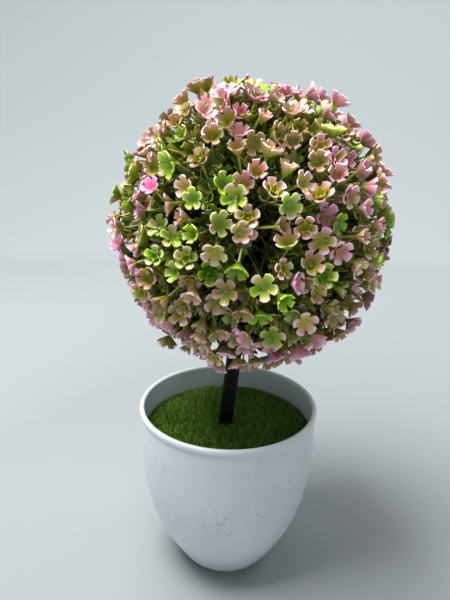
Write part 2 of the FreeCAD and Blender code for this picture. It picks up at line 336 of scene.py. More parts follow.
def pattern_arrays(name, cups):
    """A blossom of one cup, or of one in another: its corners and faces, and each corner's reach and petal."""
    made = []
    for i, sizes in enumerate(cups):
        cup = model_cup(name, *sizes)
        if i:
            half_turn = Matrix.Rotation(math.pi / PETALS, 4, "Z")
            cup.data.transform(Matrix.Translation((0, 0, INNER_LIFT)) @ half_turn)
        made.append(cup)
    hold(made[0])
    for cup in made[1:]:
        cup.select_set(True)
    if len(made) > 1:
        bpy.ops.object.join()
    corners, faces = taken_apart(bpy.context.object)
    reach = np.linalg.norm(corners[:, :2], axis=1) / (cups[0][0] * MM)
    petal = np.round([turn_of(Vector(c)) / PETAL_TURN for c in corners]).astype(int) % PETALS
    return {"corners": corners + (0, 0, COLLAR), "faces": faces, "reach": np.clip(reach, 0, 1), "petal": petal}


patterns = {name: pattern_arrays(name, cups) for name, cups in PATTERN_SHAPES.items()}
for name, pattern in patterns.items():
    print(name, len(pattern["faces"]), "faces", (np.ptp(pattern["corners"], axis=0) / MM).round(1), "mm")

# %% [markdown]
# ## Where the blossoms sit
# The frame holds every blossom as a plain five-sided cup of its own, so their places can be read from it. A node's
# mesh is cut into islands of joined corners. In each island the ten corners that lie farthest from the middle are
# the petal tips: their centre shows which way the cup opens, and the lowest corner along that way is the collar.

# %% Read the blossoms' places
TIP_CORNERS = 2 * PETALS
JOINED_WITHIN = 0.005 * MM
SPRIGS = sorted(name[: -len("_blossoms")] for name in nodes if name.endswith("_blossoms"))


def islands(node):
    """The corners of each separate solid in a node."""
    mesh = bmesh.new()
    mesh.from_mesh(node.data)
    bmesh.ops.remove_doubles(mesh, verts=mesh.verts, dist=JOINED_WITHIN)
    mesh.verts.index_update()
    seen = set()
    found = []
    for first in mesh.verts:
        if first.index in seen:
            continue
        seen.add(first.index)
        group = [first]
        for corner in group:  # the list grows while it is walked
            for edge in corner.link_edges:
                other = edge.other_vert(corner)
                if other.index not in seen:
                    seen.add(other.index)
                    group.append(other)
        found.append(np.array([corner.co for corner in group]))
    mesh.free()
    return found


def blossom_place(corners):
    """Where one blossom's collar is, the way the cup opens, and the way one of its petals points."""
    middle = corners.mean(axis=0)
    farthest = np.argsort(np.linalg.norm(corners - middle, axis=1))[-TIP_CORNERS:]
    tips = corners[farthest]
    opens = Vector(tips.mean(axis=0) - middle).normalized()
    lowest = ((corners - middle) @ np.array(opens)).min()
    petal = Vector(tips[-1] - tips.mean(axis=0))
    petal = (petal - opens * petal.dot(opens)).normalized()
    return Vector(middle) + opens * lowest, opens, petal


places = {sprig: [blossom_place(i) for i in islands(nodes[sprig + "_blossoms"])] for sprig in SPRIGS}
core_low, core_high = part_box("core_upper")
core_radius = (core_high.y - core_low.y) / 2
ball_centre = (core_low + core_high) / 2
ball_centre.z = core_high.z - core_radius
print(sum(len(found) for found in places.values()), "blossoms in the frame")
print("the ball's centre is near", [round(c / MM, 1) for c in ball_centre], "mm")

# %% [markdown]
# The blossoms are dyed after moulding, and the maker mixes the batches: most are olive at the heart and dusty
# rose at the tips, with clusters of green ones and clusters of bright pink ones. A cluster is a direction from
# the ball's middle with a half-width, and a blossom near its centre is more likely to take its colour.

# %% Colour clusters
# Each cluster: towards +X in degrees, up in degrees, half-width in degrees
GREEN_CLUSTERS = [
    (-15, 10, 20), (-20, -5, 15), (-40, 35, 15), (-75, 20, 20), (60, 5, 20),
    (60, 35, 15), (35, -15, 15), (15, -25, 10), (-40, 0, 15), (-10, 70, 10),
    (150, 20, 25), (-140, -20, 20), (110, -10, 20), (180, -40, 20), (-120, 45, 15),
]
PINK_CLUSTERS = [
    (60, 60, 25), (30, 70, 15), (45, 30, 20), (45, 10, 10), (-85, 30, 15),
    (-55, -10, 15), (-45, -40, 15), (35, -45, 15), (-20, 60, 15), (-50, 20, 10),
    (60, -25, 10), (0, -45, 15), (130, 40, 25), (-150, 25, 20), (170, -5, 20),
]


def facing(right, up):
    """The direction that is right degrees round from the front and up degrees above level."""
    right, up = math.radians(right), math.radians(up)
    return Vector((math.sin(right) * math.cos(up), -math.cos(right) * math.cos(up), math.sin(up)))


def nearness(direction, clusters):
    """1 at a cluster's centre, 0 at its edge and beyond."""
    best = 0.0
    for right, up, half_width in clusters:
        off = math.degrees(direction.angle(facing(right, up)))
        best = max(best, 1 - off / half_width)
    return best


print("clusters:", len(GREEN_CLUSTERS), "green,", len(PINK_CLUSTERS), "pink")

# %% [markdown]
# A pattern is chosen for each place and made a little larger or smaller. Under the outer blossoms sits a second,
# closer layer of smaller, olive ones, which makes the ball look full: each is set beside an outer one and deeper
# in, and none where the ball parts and shows its core. The draw starts from a fixed number, so it comes out the
# same each time.

# %% Choose the blossoms
Blossom = namedtuple("Blossom", "collar opens petal pattern size reach green pink outer")

OUTER_ODDS = {"open": 0.34, "half_open": 0.26, "full": 0.28, "young": 0.12}
OUTER_SIZE = (0.8, 1.06)
OUTER_PUSH = (-3.2 * MM, 2.8 * MM)
INNER_ODDS = {"inner_open": 0.5, "inner_closed": 0.5}
INNER_SIZE = (0.64, 0.9)
INNER_PER_BLOSSOM = 3
INNER_DEPTH = (3.5 * MM, 16 * MM)
INNER_ASIDE = (1.8 * MM, 6 * MM)
INNER_GREEN = (0.0, 0.75)
INNER_REACH = (0.45, 0.8)
# The chance of each dye away from its clusters, what a cluster's centre adds, and the shares of those that have it
GREEN_CHANCE, GREEN_GAIN, GREEN_DYED = 0.08, 1.0, (0.6, 1.0)
PINK_CHANCE, PINK_GAIN, PINK_DYED = 0.12, 1.6, (0.5, 1.0)
NOT_GREEN, NOT_PINK = (0.0, 0.2), (0.0, 0.15)
# Where the ball parts: right and up in degrees, and half-width
PARTINGS = [(1, 12, 9), (2, 3, 10), (-2, -7, 9)]
draw = np.random.default_rng(11)


def turned_aside(axis, direction):
    """The direction turned about the axis by any angle."""
    return Quaternion(axis, draw.uniform(0, 2 * math.pi)) @ direction


def bloom_colour(collar):
    """How green and how pink a blossom at this place is."""
    direction = (collar - ball_centre).normalized()
    is_green = draw.uniform() < GREEN_CHANCE + GREEN_GAIN * nearness(direction, GREEN_CLUSTERS)
    is_pink = draw.uniform() < PINK_CHANCE + PINK_GAIN * nearness(direction, PINK_CLUSTERS)
    green = draw.uniform(*(GREEN_DYED if is_green else NOT_GREEN))
    pink = draw.uniform(*(PINK_DYED if is_pink and not is_green else NOT_PINK))
    return green, pink


def blossom_plan(sprig):
    """Every blossom of a sprig, the outer ones and those deeper in."""
    plan = []
    for collar, opens, petal in places[sprig]:
        outward = (collar - ball_centre).normalized()
        placed = collar + outward * draw.uniform(*OUTER_PUSH)
        pattern = draw.choice(list(OUTER_ODDS), p=list(OUTER_ODDS.values()))
        size = draw.uniform(*OUTER_SIZE)
        plan.append(Blossom(placed, opens, petal, pattern, size, 1.0, *bloom_colour(collar), outer=True))
        for _ in range(INNER_PER_BLOSSOM):
            aside = turned_aside(opens, petal)
            inner = collar - outward * draw.uniform(*INNER_DEPTH) + aside * draw.uniform(*INNER_ASIDE)
            pattern = draw.choice(list(INNER_ODDS), p=list(INNER_ODDS.values()))
            size, green, reach = (draw.uniform(*span) for span in (INNER_SIZE, INNER_GREEN, INNER_REACH))
            if nearness((inner - ball_centre).normalized(), PARTINGS) <= 0:
                plan.append(Blossom(inner, outward, petal, pattern, size, reach, green, 0.0, outer=False))
    return plan


plans = {sprig: blossom_plan(sprig) for sprig in SPRIGS}
print("blossoms:", sum(len(plan) for plan in plans.values()))

# %% [markdown]
# Each sprig's blossoms are one mesh. Every copy of a pattern is turned about its own axis and tipped at random,
# because the stalks are soft and never leave two blossoms alike. The dye takes unevenly, so one petal of a rosy
# blossom can be lime and its neighbour cream: each petal gets a share of its own. The colour choices travel with
# the mesh as attributes: "bloom" holds the way from collar to tip, how green and how pink, and "tint" is a tone
# of its own: random on the outer blossoms, and kept low on the inner ones as painted shade and dust.

# %% Place the blossoms
OUTER_TIP_DEG = 36
INNER_TIP_DEG = 57.6
PETAL_GREEN = 0.55
PETAL_PINK = 0.35
PETAL_TINT = 0.15
# Tints: a tone at random on the outer blossoms; low on the inner ones, for painted shade and dust deep in the ball
OUTER_TINT = (0.4, 1.0)
INNER_TINT_DUST_AND_PAINTED_SHADE = (0.05, 0.45)
PETAL_EDGE_DEG = 48


def standing(blossom):
    """The turn that stands a pattern up along a blossom's own directions, tipped a little."""
    tip_axis = turned_aside(blossom.opens, blossom.petal)
    most_tip_deg = OUTER_TIP_DEG if blossom.outer else INNER_TIP_DEG
    tip = Quaternion(tip_axis, math.radians(most_tip_deg) * draw.uniform(-1, 1))
    up = tip @ blossom.opens
    front = Quaternion(up, draw.uniform(0, math.radians(PETAL_TURN))) @ (tip @ blossom.petal)
    return np.array([front, up.cross(front), up]).T


def petals_of(sprig):
    """All of one sprig's blossoms as one piece."""
    corners, faces, bloom, tints_and_painted_shade = [], [], [], []
    count = 0
    for blossom in plans[sprig]:
        pattern = patterns[blossom.pattern]
        placed = (pattern["corners"] * blossom.size) @ standing(blossom).T + np.array(blossom.collar)
        corners.append(placed)
        faces += [tuple(i + count for i in face) for face in pattern["faces"]]
        count += len(placed)
        green = blossom.green + PETAL_GREEN * draw.uniform(-1, 1, PETALS) ** 3
        pink = blossom.pink + PETAL_PINK * draw.uniform(-1, 1, PETALS) ** 3
        tint = draw.uniform(*(OUTER_TINT if blossom.outer else INNER_TINT_DUST_AND_PAINTED_SHADE))
        tint = tint + PETAL_TINT * draw.uniform(-1, 1, PETALS)
        own = pattern["petal"]
        rows = [pattern["reach"] * blossom.reach, green[own], pink[own], np.ones(len(placed))]
        bloom.append(np.clip(np.stack(rows, axis=1), 0, 1))
        tints_and_painted_shade.append(np.clip(tint[own], 0, 1))
    piece = built(sprig + "_petals", np.concatenate(corners), faces)
    note_down(piece, "bloom", np.concatenate(bloom), "FLOAT_COLOR")
    note_down(piece, "tint", np.concatenate(tints_and_painted_shade))
    hold(piece)
    bpy.ops.object.shade_smooth_by_angle(angle=math.radians(PETAL_EDGE_DEG))
    return piece


petal_pieces = {sprig: petals_of(sprig) for sprig in SPRIGS}
print("petal faces in all:", sum(len(p.data.polygons) for p in petal_pieces.values()))

# %% [markdown]
# ## The petals' finish
# The petals are injection-moulded polyethylene, dyed in the tip. It is soft and waxy to the eye: a broad
# highlight, a little light let through the thin sheet, and a colour that runs from yellow-olive at the heart to
# rose at the rim. A gradient along each petal needs to know where the tip is, so it follows the "bloom"
# attribute, and a fine noise breaks it up as the dye does.

# %% Dyed polyethylene petals
DYE_BLOTCH_MM = 2.2
ROSE = [(0.1, "#7a8f0e"), (0.42, "#aba422"), (0.64, "#bda74c"), (0.84, "#dda09a"), (1.0, "#f4cbd2")]
LEAF = [(0.1, "#3c7404"), (0.45, "#669c0a"), (0.85, "#9ac61e"), (1.0, "#cfe45c")]
BRIGHT = [(0.15, "#a8a034"), (0.4, "#d68f8c"), (0.68, "#ee8cc4"), (1.0, "#fdc2ea")]


def petal_plastic():
    """Soft dyed polyethylene: a waxy sheen, and a thin sheet that lets a little light through."""
    material, tree, shader, place = new_material("dyed_polyethylene_petal", roughness=0.32, ior=1.51)
    bloom = add_node(tree, "ShaderNodeAttribute", attribute_name="bloom")
    tint = add_node(tree, "ShaderNodeAttribute", attribute_name="tint")
    parts = add_node(tree, "ShaderNodeSeparateColor", {"Color": bloom.outputs["Color"]})
    reach, green, pink = (parts.outputs[name] for name in ("Red", "Green", "Blue"))
    blotch = add_node(tree, "ShaderNodeTexNoise", {"Vector": place}, {"Scale": 1 / (DYE_BLOTCH_MM * MM), "Detail": 3})
    along = reach
    # The dye's edge wanders by the blotches, and lies nearer the heart on the paler petals
    for source, gain, start in ((blotch, 0.3, -0.15), (tint, 0.3, -0.2)):
        shift = add_node(
            tree, "ShaderNodeMath", {0: source.outputs["Fac"]}, {1: gain, 2: start}, operation="MULTIPLY_ADD"
        )
        along = add_node(tree, "ShaderNodeMath", {0: along, 1: shift.outputs[0]}, operation="ADD").outputs[0]
    shade = mixed(tree, pink, ramp(tree, along, ROSE), ramp(tree, along, BRIGHT))
    shade = mixed(tree, green, shade, ramp(tree, along, LEAF))
    # Painted shade and dust: the colour is scaled by the tint, so the inner blossoms with their low tints come out
    # darker, as if in the shade deep in the ball; on the outer blossoms the tint is a tone at random
    depth = add_node(tree, "ShaderNodeMapRange", {"Value": tint.outputs["Fac"]}, {"To Min": 0.3, "To Max": 1.32})
    shade = mixed(tree, None, shade, depth.outputs["Result"], blend="MULTIPLY")
    tree.links.new(shade, shader.inputs["Base Color"])
    shader.inputs["Subsurface Weight"].default_value = 0.12
    shader.inputs["Subsurface Radius"].default_value = (1.0, 0.7, 0.5)
    shader.inputs["Subsurface Scale"].default_value = 1.2 * MM
    bump = add_node(
        tree, "ShaderNodeBump", {"Height": blotch.outputs["Fac"]}, {"Strength": 0.12, "Distance": 0.3 * MM}
    )
    tree.links.new(bump.outputs["Normal"], shader.inputs["Normal"])
    return material


petal_material = petal_plastic()
for sprig, piece in petal_pieces.items():
    wear(piece, petal_material)
    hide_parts(sprig + "_blossoms")
    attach(piece, "root")
print("petals dressed:", len(petal_pieces), "sprigs")

# %% [markdown]
# ## The stalks
# The forked stalks are right in the frame, so they keep their shape and only get their finish: olive polyethylene
# from a mould, semi-matt, and darker towards the core, with dust and with painted shade for the shade that gathers
# there. The distance from the ball's middle drives that change.

# %% Olive stalks
# Painted shade and dust: the stalks darken from this distance from the ball's middle in to the core
STALK_SHADE_ENDS_AT = core_radius + 24 * MM
STALK_STREAK_MM = 3
OLIVE_AND_PAINTED_SHADE = [(0, "#39421a"), (0.4, "#5c6a26"), (0.8, "#7f8c34"), (1, "#a3a950")]


def stalk_plastic():
    """Olive polyethylene, semi-matt, darker near the core with dust and painted shade."""
    material, tree, shader, place = new_material("olive_polyethylene_stalk", roughness=0.38)
    away = add_node(tree, "ShaderNodeVectorMath", {0: place}, {1: ball_centre}, operation="DISTANCE")
    reach = add_node(
        tree,
        "ShaderNodeMapRange",
        {"Value": away.outputs["Value"]},
        {"From Min": core_radius, "From Max": STALK_SHADE_ENDS_AT},
    )
    shade = ramp(tree, reach.outputs["Result"], OLIVE_AND_PAINTED_SHADE)
    streak = add_node(
        tree, "ShaderNodeTexNoise", {"Vector": place}, {"Scale": 1 / (STALK_STREAK_MM * MM), "Detail": 2}
    )
    mottle = add_node(tree, "ShaderNodeMapRange", {"Value": streak.outputs["Fac"]}, {"To Min": 0.7, "To Max": 1.25})
    shade = mixed(tree, None, shade, mottle.outputs["Result"], blend="MULTIPLY")
    tree.links.new(shade, shader.inputs["Base Color"])
    return material


stalk_material = stalk_plastic()
for sprig in SPRIGS:
    wear(nodes[sprig + "_stalk"], stalk_material)
print("stalks dressed")

# %% [markdown]
# ## Fine stalks
# Between the forks of the frame and the inner layer of blossoms run finer stalks, soft enough to bow. They are
# turned shapes that bend: a slim five-sided rod is raised ring by ring, from a thicker root to a thinner tip, and
# kept as a pattern. The same raising makes the pot, the stem and the studio later on.

# %% Raise a turned shape from rings


def raise_rings(name, rings, corners):
    """Raises a turned shape from its rings of (radius, height), and leaves it open and in edit mode."""
    start_clean()
    radius, height = rings[0]
    bpy.ops.mesh.primitive_circle_add(vertices=corners, radius=radius, fill_type="NOTHING", location=(0, 0, height))
    piece = bpy.context.object
    piece.name = name
    piece.data.name = name
    bpy.ops.object.transform_apply(location=True, rotation=False, scale=False)
    bpy.ops.object.mode_set(mode="EDIT")
    bpy.ops.mesh.select_all(action="SELECT")
    for next_radius, next_height in rings[1:]:
        bpy.ops.mesh.extrude_region_move(TRANSFORM_OT_translate={"value": (0, 0, next_height - height)})
        share = next_radius / radius
        bpy.ops.transform.resize(value=(share, share, 1), center_override=(0, 0, next_height))
        radius, height = next_radius, next_height
    return piece


def close_ends():
    """Fills the open rims of the mesh in hand and makes its faces point outwards."""
    bpy.ops.mesh.select_all(action="DESELECT")
    bpy.ops.mesh.select_mode(type="EDGE")
    bpy.ops.mesh.select_non_manifold()
    bpy.ops.mesh.fill_holes(sides=0)
    bpy.ops.mesh.select_all(action="SELECT")
    bpy.ops.mesh.normals_make_consistent(inside=False)
    bpy.ops.object.mode_set(mode="OBJECT")


def smooth_between(points, steps):
    """More rings between the given ones, along a smooth curve through them all."""
    padded = [points[0]] + list(points) + [points[-1]]
    found = []
    for a, b, c, d in zip(padded, padded[1:], padded[2:], padded[3:]):
        for i in range(steps):
            t = i / steps
            found.append(
                tuple(
                    0.5 * (2 * q + (r - p) * t + (2 * p - 5 * q + 4 * r - s) * t**2 + (3 * q - p - 3 * r + s) * t**3)
                    for p, q, r, s in zip(a, b, c, d)
                )
            )
    return found + [points[-1]]


FINE_SIDES = 5
FINE_RINGS = 6
ROOT_WIDTH, TIP_WIDTH = 1.15, 0.75

fine_rings = [
    (ROOT_WIDTH + (TIP_WIDTH - ROOT_WIDTH) * i / FINE_RINGS, i / FINE_RINGS) for i in range(FINE_RINGS + 1)
]
fine_rod = raise_rings("fine_rod", fine_rings, FINE_SIDES)
close_ends()
rod_corners, rod_faces = taken_apart(fine_rod)
print("a fine stalk has", len(rod_faces), "faces")

# %% [markdown]
# Each copy of the rod ends in one blossom's collar and is laid along its own gentle bow. Beside the parting the
# fine stalks start deep, near the core, and lean across it.

# %% Grow the fine stalks
FINE_THICKNESS = 0.42 * MM
FINE_LENGTH = 13 * MM
FINE_BOW = 0.22
FINE_DEPTH = (0.7, 1.2)
FINE_ASIDE = (0.2, 0.6)
PARTING_EDGE_DEG = 24
PARTING_EDGES = [(right, up, PARTING_EDGE_DEG) for right, up, _ in PARTINGS]
DEEP_ROOT = 35 * MM
DEEP_LEAN = (0.0, 0.6)
STALK_EDGE_DEG = 80


def laid_rod(root, tip, bow):
    """The rod's corners along a bow from root to tip."""
    along = tip - root
    side = along.orthogonal().normalized()
    other = along.normalized().cross(side)
    share = rod_corners[:, 2:3]
    bend = 4 * share * (1 - share) * np.array(bow)[None, :]
    thick = FINE_THICKNESS * (rod_corners[:, 0:1] * np.array(side) + rod_corners[:, 1:2] * np.array(other))
    return np.array(root) + share * np.array(along) + bend + thick


def fine_stalks_of(sprig):
    """The finer, bowed stalks of one sprig as one piece."""
    corners, faces = [], []
    for blossom in plans[sprig]:
        outward = (blossom.collar - ball_centre).normalized()
        aside = turned_aside(outward, blossom.petal)
        inward = outward * FINE_LENGTH * draw.uniform(*FINE_DEPTH)
        root = blossom.collar - inward + aside * FINE_LENGTH * draw.uniform(*FINE_ASIDE)
        if nearness(outward, PARTING_EDGES) > 0:
            middle = facing(*PARTINGS[0][:2])
            heading = outward + middle * draw.uniform(*DEEP_LEAN) + aside * draw.uniform(*DEEP_LEAN)
            root = ball_centre + heading.normalized() * DEEP_ROOT
        bow = (aside + blossom.petal).normalized() * FINE_LENGTH * FINE_BOW * draw.uniform(-1, 1)
        count = len(corners) * len(rod_corners)
        corners.append(laid_rod(root, blossom.collar, bow))
        faces += [tuple(i + count for i in face) for face in rod_faces]
    piece = built(sprig + "_fine_stalks", np.concatenate(corners), faces)
    hold(piece)
    bpy.ops.object.shade_smooth_by_angle(angle=math.radians(STALK_EDGE_DEG))
    wear(piece, stalk_material)
    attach(piece, "root")
    return piece


fine_pieces = [fine_stalks_of(sprig) for sprig in SPRIGS]
print("fine stalk faces:", sum(len(p.data.polygons) for p in fine_pieces))

# %% [markdown]
# ## The pot
# A thin injection-moulded bowl in white polypropylene with a rolled lip. Turned work like this can be spun from
# an outline, or raised ring by ring from a circle, as a potter pulls a wall. Raising shows each step: the edge of
# a circle is extruded to the next height and scaled to the next radius, up the outside, over the lip and down
# the inside, and the last ring is closed to a floor. The side is nearly straight at the top and rounds in to a
# small foot with a recess under it. The lip is a bead, drawn as a half circle in section, with a small step
# under its outer edge.

# %% Model the pot
# Rings of (radius, height) in millimetres: the recess under the foot and its ring, then the side up to the lip
FOOT_MM = [(1.0, 1.5), (20.8, 1.5), (21.4, 0.2), (21.8, 0.0), (23.6, 0.0)]
SIDE_MM = [(24.0, 0.0), (26.6, 2.9), (31.4, 11.0), (37.7, 23.0)]
SIDE_MM += [(42.6, 37.0), (46.0, 55.0), (47.0, 73.0), (46.9, 87.4)]
SIDE_STEPS = 4
POT_TURN_CORNERS = 96
POT_EDGE_DEG = 40
WALL = 1.8 * MM
FLOOR = 3.0 * MM
FLOOR_ROUND = 3.0 * MM
FLOOR_POLE = 1.0 * MM
LIP_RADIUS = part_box("pot")[1].x
BEAD_RADIUS = 1.3 * MM
BEAD_STEPS = 8
BEAD_FOOT = POT_HEIGHT - 3.0 * MM
STEP_IN, STEP_UP = 0.15 * MM, 0.35 * MM

foot = [(r * MM, z * MM) for r, z in FOOT_MM]
side = smooth_between([(r * MM, z * MM) for r, z in SIDE_MM], SIDE_STEPS)
bead = []
for i in range(BEAD_STEPS + 1):
    angle = math.pi * i / BEAD_STEPS
    out, up = BEAD_RADIUS * math.cos(angle), BEAD_RADIUS * math.sin(angle)
    bead.append((LIP_RADIUS - BEAD_RADIUS + out, POT_HEIGHT - BEAD_RADIUS + up))
inside = [(r - WALL, z) for r, z in reversed(side) if z > FLOOR + 2 * MM]
rings = (
    foot
    + side[1:]
    + [(side[-1][0], BEAD_FOOT), (LIP_RADIUS - STEP_IN, BEAD_FOOT + STEP_UP)]
    + bead
    + [(bead[-1][0], BEAD_FOOT)]
    + inside
    + [(inside[-1][0] - FLOOR_ROUND, FLOOR), (FLOOR_POLE, FLOOR)]
)
pot_shell = raise_rings("pot_shell", rings, POT_TURN_CORNERS)
close_ends()
bpy.ops.object.shade_smooth_by_angle(angle=math.radians(POT_EDGE_DEG))
print("pot:", [round(d / MM, 1) for d in pot_shell.dimensions], "mm")

# %% [markdown]
# White polypropylene from a polished mould: a satin gloss with a slightly cold white, a surface that is not quite
# flat, so reflections waver, and the marks of handling: faint grey-green scuffs on the front and towards both
# sides. The scuffs are noise, kept to small areas by the distance from a point on the wall.

# %% White polypropylene
# Each scuffed area: degrees to the right of the pot's front, then its height and its radius in millimetres
SCUFFS = [(-5, 50, 18), (15, 56, 14), (40, 64, 10), (-45, 72, 12), (-35, 45, 12), (20, 82, 8)]
SCUFF_GRAIN_MM = 1.6
SCUFF_PATCH_MM = 7
SCUFF_STRENGTH = 0.7
MOULD_WAVE_MM = 9
WHITE_CLOUD_MM = 30


def pot_plastic():
    """Satin white polypropylene with a wavering gloss, scuffed in a few places."""
    material, tree, shader, place = new_material("white_polypropylene", roughness=0.3, ior=1.49)
    grain = add_node(
        tree,
        "ShaderNodeTexNoise",
        {"Vector": place},
        {"Scale": 1 / (SCUFF_GRAIN_MM * MM), "Detail": 6, "Roughness": 0.68},
    )
    patchy = add_node(
        tree, "ShaderNodeTexNoise", {"Vector": place}, {"Scale": 1 / (SCUFF_PATCH_MM * MM), "Detail": 3}
    )
    marks = ramp(tree, grain.outputs["Fac"], [(0.5, 0.0), (0.66, 1.0)])
    patches = ramp(tree, patchy.outputs["Fac"], [(0.38, 0.15), (0.55, 1.0)])
    marks = mixed(tree, None, marks, patches, blend="MULTIPLY")
    total = None
    for right, height, radius in SCUFFS:
        wall_radius = np.interp(height, [z for r, z in SIDE_MM], [r for r, z in SIDE_MM])
        spot = facing(right, 0) * wall_radius * MM + UP * height * MM
        away = add_node(tree, "ShaderNodeVectorMath", {0: place}, {1: spot}, operation="DISTANCE")
        near = add_node(
            tree,
            "ShaderNodeMapRange",
            {"Value": away.outputs["Value"]},
            {"From Min": 0.0, "From Max": radius * MM, "To Min": 1.0, "To Max": 0.0},
        ).outputs["Result"]
        if total is not None:
            near = add_node(tree, "ShaderNodeMath", {0: total, 1: near}, operation="MAXIMUM").outputs[0]
        total = near
    amount = add_node(tree, "ShaderNodeMath", {0: marks, 1: total}, operation="MULTIPLY").outputs[0]
    amount = add_node(tree, "ShaderNodeMath", {0: amount}, {1: SCUFF_STRENGTH}, operation="MULTIPLY").outputs[0]
    cloud = add_node(tree, "ShaderNodeTexNoise", {"Vector": place}, {"Scale": 1 / (WHITE_CLOUD_MM * MM), "Detail": 2})
    white = ramp(tree, cloud.outputs["Fac"], [(0.3, "#d2d7de"), (0.7, "#dde1e6")])
    scuffed = mixed(tree, amount, white, "#7f8f7d")
    tree.links.new(scuffed, shader.inputs["Base Color"])
    wave = add_node(tree, "ShaderNodeTexNoise", {"Vector": place}, {"Scale": 1 / (MOULD_WAVE_MM * MM), "Detail": 1})
    gloss = add_node(tree, "ShaderNodeMapRange", {"Value": cloud.outputs["Fac"]}, {"To Min": 0.24, "To Max": 0.38})
    tree.links.new(gloss.outputs["Result"], shader.inputs["Roughness"])
    bump = add_node(
        tree, "ShaderNodeBump", {"Height": wave.outputs["Fac"]}, {"Strength": 0.25, "Distance": 0.15 * MM}
    )
    tree.links.new(bump.outputs["Normal"], shader.inputs["Normal"])
    return material


wear(pot_shell, pot_plastic())
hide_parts("pot")
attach(pot_shell, "root")
print("pot dressed, with", len(SCUFFS), "scuffed areas")

# %% [markdown]
# ## The turf
# The turf is a round of short-cut artificial grass: thousands of flat polyethylene blades, each well under a
# millimetre wide, tufted through a cloth. One blade is modelled as a slim three-sided spike. The stem comes up
# through the turf, so the line that it leans along is read from the frame.

# %% Model a blade and find the stem
BLADE_FLATNESS = 0.55
STEM_RADIUS = 4.0 * MM


def lean_line(node):
    """The middles of a leaning tube's two ends."""
    corners = np.array([v.co for v in node.data.vertices])
    low = corners[corners[:, 2] < corners[:, 2].min() + 1 * MM].mean(axis=0)
    high = corners[corners[:, 2] > corners[:, 2].max() - 1 * MM].mean(axis=0)
    return Vector(low), Vector(high)


def model_blade():
    """One upright blade, one unit wide and one tall: a flattened three-sided spike."""
    start_clean()
    bpy.ops.mesh.primitive_cone_add(
        vertices=3, radius1=0.5, radius2=0.0, depth=1, location=(0, 0, 0.5), end_fill_type="NGON"
    )
    bpy.ops.object.transform_apply(location=True, rotation=False, scale=False)
    bpy.ops.object.mode_set(mode="EDIT")
    bpy.ops.mesh.select_all(action="SELECT")
    bpy.ops.transform.resize(value=(1, BLADE_FLATNESS, 1), center_override=(0, 0, 0))
    bpy.ops.object.mode_set(mode="OBJECT")
    return taken_apart(bpy.context.object)


turf_low, turf_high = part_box("turf_pile")
stem_low, stem_high = lean_line(nodes["stem"])
stem_foot = stem_low + (stem_high - stem_low) * ((turf_low.z - stem_low.z) / (stem_high.z - stem_low.z))
blade_corners, blade_faces = model_blade()
print("a blade has", len(blade_faces), "faces; the stem stands at", [round(c / MM, 1) for c in stem_foot])

# %% [markdown]
# The blade is copied over the disc at seeded random places, leaning every way, into one mesh. The tips follow the
# slightly domed top that the frame gives, and none reaches past the disc's edge. "tint" holds a shade for each
# blade and "height" the way from root to tip.

# %% Sow the turf
BLADES = 24000
BLADE_WIDTH = 0.72 * MM
BLADE_LENGTHS = (0.7, 1.06)
MOST_LEAN_DEG = 42
TURF_RADIUS = turf_high.x
SOWN_RADIUS = 0.985 * TURF_RADIUS
TURF_EDGE_DROP = 1.2 * MM
STEM_GAP = 0.5 * MM

away = SOWN_RADIUS * np.sqrt(draw.uniform(0, 1, BLADES))
around = draw.uniform(0, 2 * math.pi, BLADES)
roots = np.stack([away * np.cos(around), away * np.sin(around), np.full(BLADES, turf_low.z)], axis=1)
clear = np.hypot(roots[:, 0] - stem_foot.x, roots[:, 1] - stem_foot.y) > STEM_RADIUS + STEM_GAP
roots, away = roots[clear], away[clear]
sown = len(roots)

lean = np.radians(MOST_LEAN_DEG) * np.sqrt(draw.uniform(0, 1, sown))
full_length = turf_high.z - turf_low.z - TURF_EDGE_DROP * (away / TURF_RADIUS) ** 2
length = full_length * draw.uniform(*BLADE_LENGTHS, sown)
lean_way = draw.uniform(0, 2 * math.pi, sown)
spin = draw.uniform(0, 2 * math.pi, sown)[:, None]

across = blade_corners[None, :, :2] * BLADE_WIDTH
x = across[..., 0] * np.cos(spin) - across[..., 1] * np.sin(spin)
y = across[..., 0] * np.sin(spin) + across[..., 1] * np.cos(spin)
z = blade_corners[None, :, 2] * length[:, None]
aside = z * np.tan(lean)[:, None]
blades = np.stack([x + aside * np.cos(lean_way)[:, None], y + aside * np.sin(lean_way)[:, None], z], axis=2)
blades += roots[:, None, :]
span = np.hypot(blades[..., 0], blades[..., 1])
blades[..., :2] *= np.minimum(1, TURF_RADIUS / np.maximum(span, MM))[..., None]

per_blade = len(blade_corners)
turf_faces = [tuple(v + i * per_blade for v in face) for i in range(sown) for face in blade_faces]
turf_blades = built("turf_blades", blades.reshape(-1, 3), turf_faces)
note_down(turf_blades, "tint", np.repeat(draw.uniform(0, 1, sown), per_blade))
note_down(turf_blades, "height", np.tile(blade_corners[:, 2], sown))
print("turf:", sown, "blades,", len(turf_faces), "faces")

# %% [markdown]
# Turf polyethylene is extruded and slit, so a blade is smooth and a little shiny: a few catch the light as small
# bright specks. Roots lie in shade and are darker, tips are yellower, and each blade has its own shade.

# %% Turf polyethylene
TURF_PATCH_MM = 14


